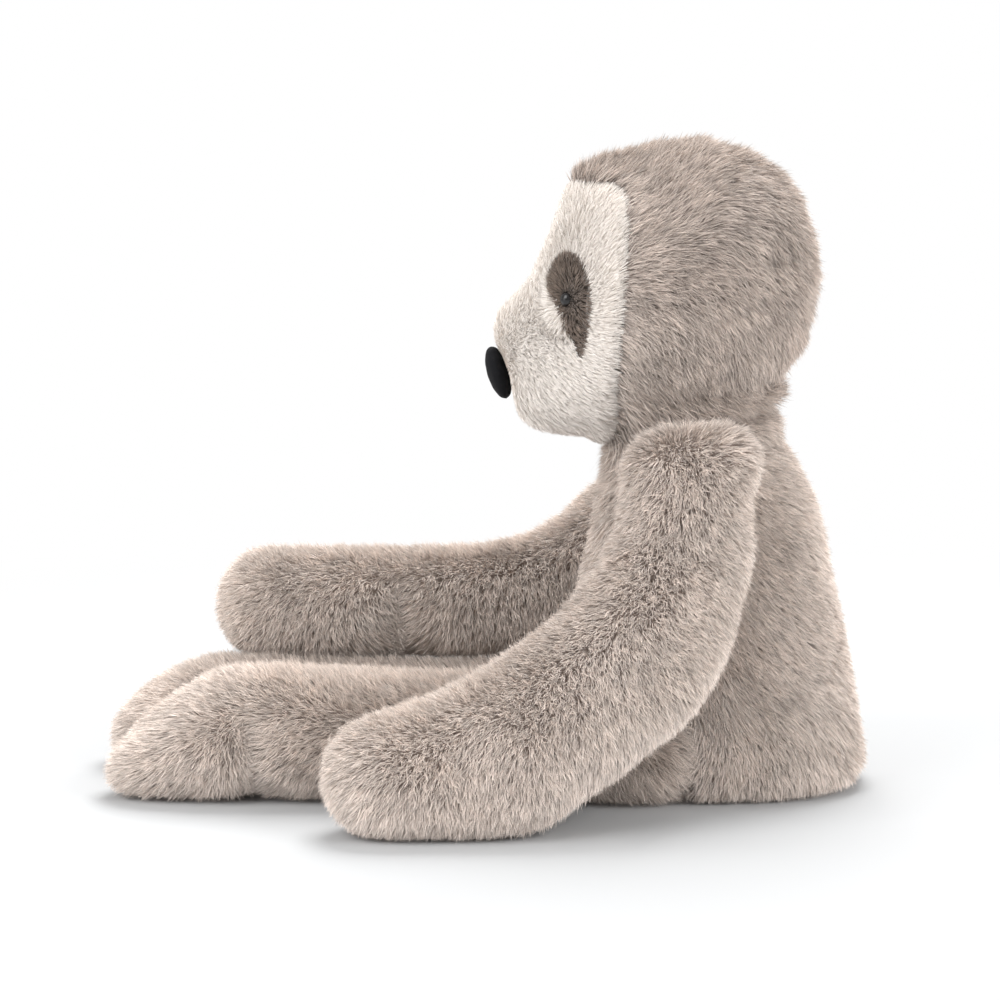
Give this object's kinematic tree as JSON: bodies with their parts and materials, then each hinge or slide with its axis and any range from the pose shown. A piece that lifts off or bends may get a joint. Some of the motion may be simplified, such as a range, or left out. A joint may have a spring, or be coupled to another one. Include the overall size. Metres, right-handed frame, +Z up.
{
  "type": "plush sloth",
  "caption": "Seated long-limbed plush sloth with a hooded head, pale face and dark eye patches; head turns and nods, arms and legs swing.",
  "frame": {"origin": "On the floor at the middle of the torso's flat seat, below the side seams, on the sloth's middle plane.", "axes": "+Z up, the sloth faces -Y, its own left side is +X. -Z is the seat's outward normal."},
  "size_m": [0.1925, 0.2924, 0.244],
  "materials": {
    "fur": "taupe-grey faux fur, 6 to 8 mm soft pile, paler tips",
    "face_fur": "cream-white faux fur, 5 mm soft pile",
    "patch_fur": "dark grey-brown faux fur, 4 mm soft pile",
    "nose_suede": "matt black suede-like knit",
    "eye_plastic": "glossy black moulded bead",
    "washer_plastic": "white moulded plastic, hidden inside the head",
    "stuffing": "white polyester fibre, hidden",
    "pouch_cloth": "plain cotton pouch filled with plastic pellets, hidden",
    "thread": "taupe sewing thread"
  },
  "bodies": {
    "torso": {"torso_front_panel": "fur", "torso_back_panel": "fur", "torso_seat_panel": "fur", "torso_stuffing": "stuffing", "bean_pouch": "pouch_cloth"},
    "neck": {"neck_seam": "thread"},
    "head": {"hood_crown_panel": "fur", "hood_left_panel": "fur", "hood_right_panel": "fur", "face_panel": "face_fur", "left_eye_patch": "patch_fur", "right_eye_patch": "patch_fur", "left_eye": "eye_plastic", "right_eye": "eye_plastic", "left_eye_washer": "washer_plastic", "right_eye_washer": "washer_plastic", "nose": "nose_suede", "head_stuffing": "stuffing"},
    "left_arm": {"left_arm_inner_panel": "fur", "left_arm_outer_panel": "fur", "left_arm_stuffing": "stuffing"},
    "right_arm": {"right_arm_inner_panel": "fur", "right_arm_outer_panel": "fur", "right_arm_stuffing": "stuffing"},
    "left_leg": {"left_leg_upper_panel": "fur", "left_leg_lower_panel": "fur", "left_leg_stuffing": "stuffing"},
    "right_leg": {"right_leg_upper_panel": "fur", "right_leg_lower_panel": "fur", "right_leg_stuffing": "stuffing"}
  },
  "joints": [
    {"name": "neck_turn", "type": "hinge", "parent": "torso", "child": "neck", "pos_m": [0, -0.003, 0.108], "axis": [0, 0, 1], "range_deg": [-25, 25], "stiffness_Nm_per_rad": 0.8},
    {"name": "neck_nod", "type": "hinge", "parent": "neck", "child": "head", "pos_m": [0, -0.003, 0.108], "axis": [1, 0, 0], "range_deg": [-12, 12], "stiffness_Nm_per_rad": 1.5},
    {"name": "left_shoulder_swing", "type": "hinge", "parent": "torso", "child": "left_arm", "pos_m": [0.0343, -0.012, 0.115], "axis": [-1, 0, 0], "range_deg": [-35, 60]},
    {"name": "right_shoulder_swing", "type": "hinge", "parent": "torso", "child": "right_arm", "pos_m": [-0.0343, -0.012, 0.115], "axis": [-1, 0, 0], "range_deg": [0, 32]},
    {"name": "left_hip_swing", "type": "hinge", "parent": "torso", "child": "left_leg", "pos_m": [0.0285, -0.036, 0.0225], "axis": [-1, 0, 0], "range_deg": [-80, 10]},
    {"name": "right_hip_swing", "type": "hinge", "parent": "torso", "child": "right_leg", "pos_m": [-0.0285, -0.036, 0.0225], "axis": [-1, 0, 0], "range_deg": [-80, 0]}
  ]
}
